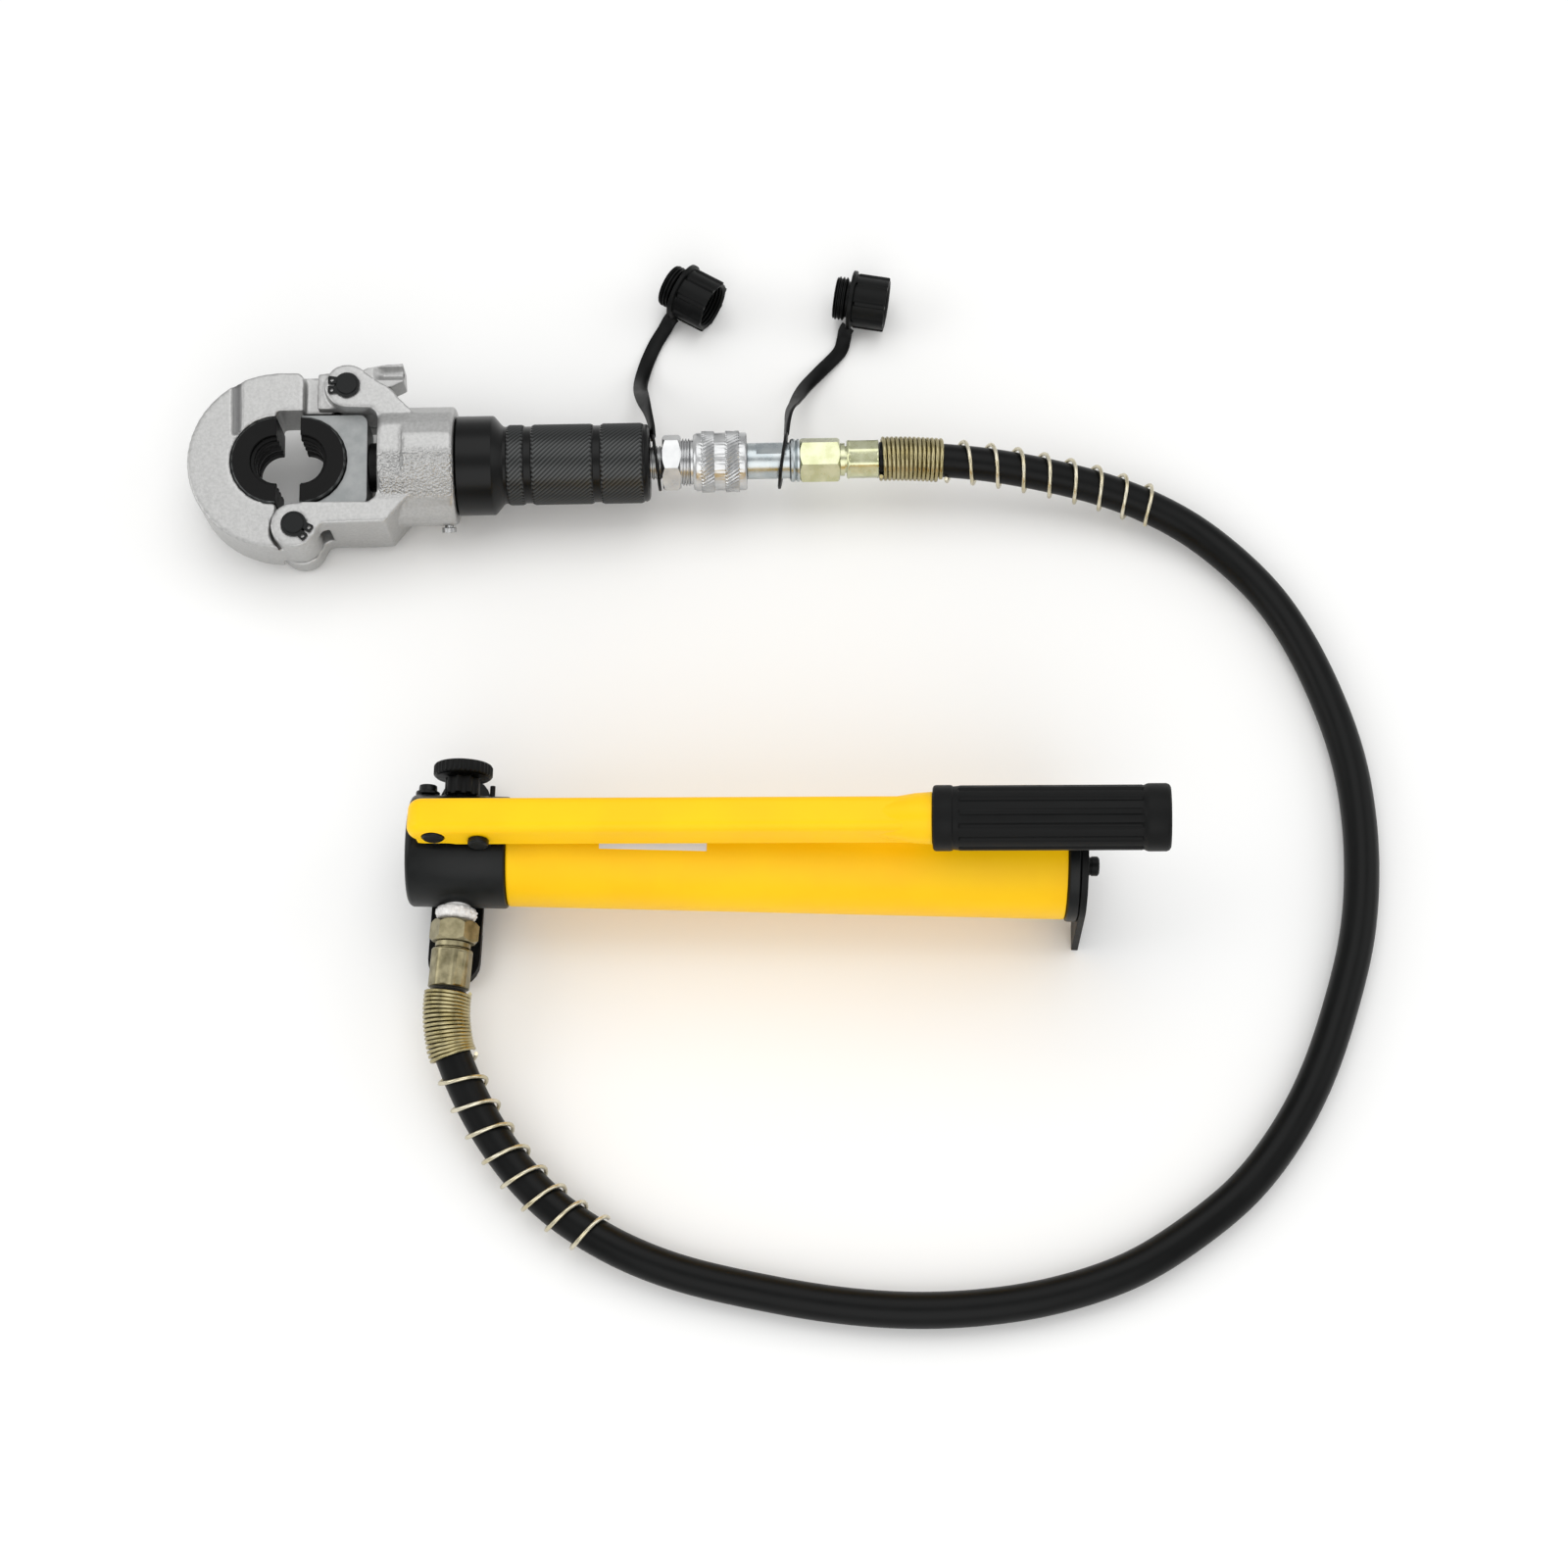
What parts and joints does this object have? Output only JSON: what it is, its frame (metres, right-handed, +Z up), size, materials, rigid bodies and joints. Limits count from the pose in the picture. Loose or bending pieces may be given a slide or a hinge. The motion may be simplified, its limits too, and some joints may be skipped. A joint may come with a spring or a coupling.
{
  "type": "split hydraulic hand press tool",
  "caption": "Hydraulic hand press: hinged C jaw head with half-round dies on a knurled cylinder, joined by quick coupler and guarded hose to a lever pump.",
  "frame": {"origin": "centre of the footprint of everything but the hose, on the floor", "axes": "+X along the head's cylinder and the reservoir, from the jaw and the pump's lever pivot towards the hose's loop; +Z up"},
  "size_m": [0.5533, 0.5313, 0.1098],
  "materials": {
    "cast_steel_silver": "bare satin cast steel",
    "machined_steel": "ground steel",
    "blackened_tool_steel": "blackened hardened steel",
    "dark_steel": "dark oiled steel",
    "black_oxide_steel": "black oxide",
    "black_paint": "satin black paint",
    "bright_nickel": "bright nickel plate",
    "blue_zinc_plate": "blue zinc plate",
    "white_zinc_plate": "zinc plate",
    "yellow_zinc_plate": "yellow zinc plate",
    "olive_spring_steel": "plated spring wire",
    "spring_steel": "bright spring wire",
    "black_rubber": "moulded rubber",
    "black_nylon": "moulded plastic",
    "yellow_enamel": "gloss enamel",
    "white_thread_tape": "thread tape"
  },
  "bodies": {
    "frame": {"yoke": "cast_steel_silver", "knob_stop_peg": "dark_steel", "gland_nut": "dark_steel", "cylinder_barrel": "black_oxide_steel", "hinge_pin": "black_oxide_steel", "latch_pin": "black_oxide_steel", "hinge_circlip_top": "black_oxide_steel", "hinge_circlip_bottom": "black_oxide_steel", "latch_circlip_top": "black_oxide_steel", "latch_circlip_bottom": "black_oxide_steel", "pump_block": "black_oxide_steel", "end_cap": "black_oxide_steel", "relief_valve_cap": "black_oxide_steel", "pivot_post": "black_oxide_steel", "fulcrum_pin": "black_oxide_steel", "rear_foot": "black_paint", "front_foot": "black_paint", "coupler_body": "bright_nickel", "coupler_plug": "blue_zinc_plate", "barrel_set_screw": "white_zinc_plate", "coupler_stub": "white_zinc_plate", "suction_tube": "white_zinc_plate", "foot_screw_1": "white_zinc_plate", "foot_screw_2": "white_zinc_plate", "hose_nut_head": "yellow_zinc_plate", "hose_nut_pump": "yellow_zinc_plate", "hose_ferrule_head": "yellow_zinc_plate", "hose_ferrule_pump": "yellow_zinc_plate", "hose_guard_head": "olive_spring_steel", "hose_guard_pump": "olive_spring_steel", "suction_strainer": "olive_spring_steel", "ram_return_spring": "spring_steel", "latch_spring": "spring_steel", "hose_spring_head": "spring_steel", "hose_spring_pump": "spring_steel", "hose": "black_rubber", "block_o_ring": "black_rubber", "cap_o_ring": "black_rubber", "vent_plug": "black_nylon", "reservoir_tube": "yellow_enamel", "thread_tape": "white_thread_tape"},
    "jaw": {"jaw": "cast_steel_silver", "jaw_die": "blackened_tool_steel"},
    "latch": {"latch": "cast_steel_silver"},
    "ram": {"ram_block": "machined_steel", "ram_die": "blackened_tool_steel", "piston": "dark_steel", "piston_seal": "black_rubber"},
    "sleeve": {"coupler_sleeve": "bright_nickel"},
    "lever": {"lever": "yellow_enamel", "lever_grip": "black_rubber", "plunger_pin": "black_oxide_steel"},
    "plunger": {"plunger": "machined_steel"},
    "release_knob": {"release_knob": "black_nylon", "release_valve_stem": "dark_steel"},
    "cap_1": {"dust_cap_1": "black_nylon", "dust_strap_1": "black_nylon"},
    "cap_2": {"dust_cap_2": "black_nylon", "dust_strap_2": "black_nylon"}
  },
  "joints": [
    {"name": "jaw_hinge", "type": "hinge", "parent": "frame", "child": "jaw", "pos_m": [-0.17143, 0.03193, 0.02269], "axis": [0.0037, -0.1856, 0.9826], "range_deg": [0, 95]},
    {"name": "latch_hinge", "type": "hinge", "parent": "frame", "child": "latch", "pos_m": [-0.14878, 0.09941, 0.03535], "axis": [-0.0037, 0.1856, -0.9826], "range_deg": [0, 14], "stiffness_Nm_per_rad": 0.25, "springref_deg": -5.73},
    {"name": "ram_slide", "type": "slide", "parent": "frame", "child": "ram", "axis": [-0.9998, -0.0201, 0], "range_m": [0, 0.011], "stiffness_N_per_m": 600, "springref_m": -0.004},
    {"name": "coupler_sleeve_slide", "type": "slide", "parent": "frame", "child": "sleeve", "axis": [-0.9998, -0.0201, 0], "range_m": [0, 0.0045], "stiffness_N_per_m": 300, "springref_m": -0.003},
    {"name": "lever_hinge", "type": "hinge", "parent": "frame", "child": "lever", "pos_m": [-0.0952, -0.13572, 0.0735], "axis": [-0.025, -0.9997, 0], "range_deg": [0, 35]},
    {"name": "plunger_slide", "type": "slide", "parent": "frame", "child": "plunger", "axis": [0, 0, 1], "range_m": [0, 0.0119]},
    {"name": "release_knob_turn", "type": "hinge", "parent": "frame", "child": "release_knob", "pos_m": [-0.08751, -0.13591, 0.0385], "axis": [0.0246, 0.986, 0.165], "range_deg": [0, 180]},
    {"name": "dust_cap_1_swing", "type": "hinge", "parent": "frame", "child": "cap_1", "pos_m": [-0.00314, 0.06872, 0.029], "axis": [0.9998, 0.0201, 0], "range_deg": [0, 60]},
    {"name": "dust_cap_2_swing", "type": "hinge", "parent": "frame", "child": "cap_2", "pos_m": [0.05705, 0.06993, 0.029], "axis": [0.9998, 0.0201, 0], "range_deg": [0, 60]}
  ],
  "couplings": [
    {"joint": "plunger_slide", "follows": "lever_hinge", "m_per_rad": 0.01885}
  ]
}
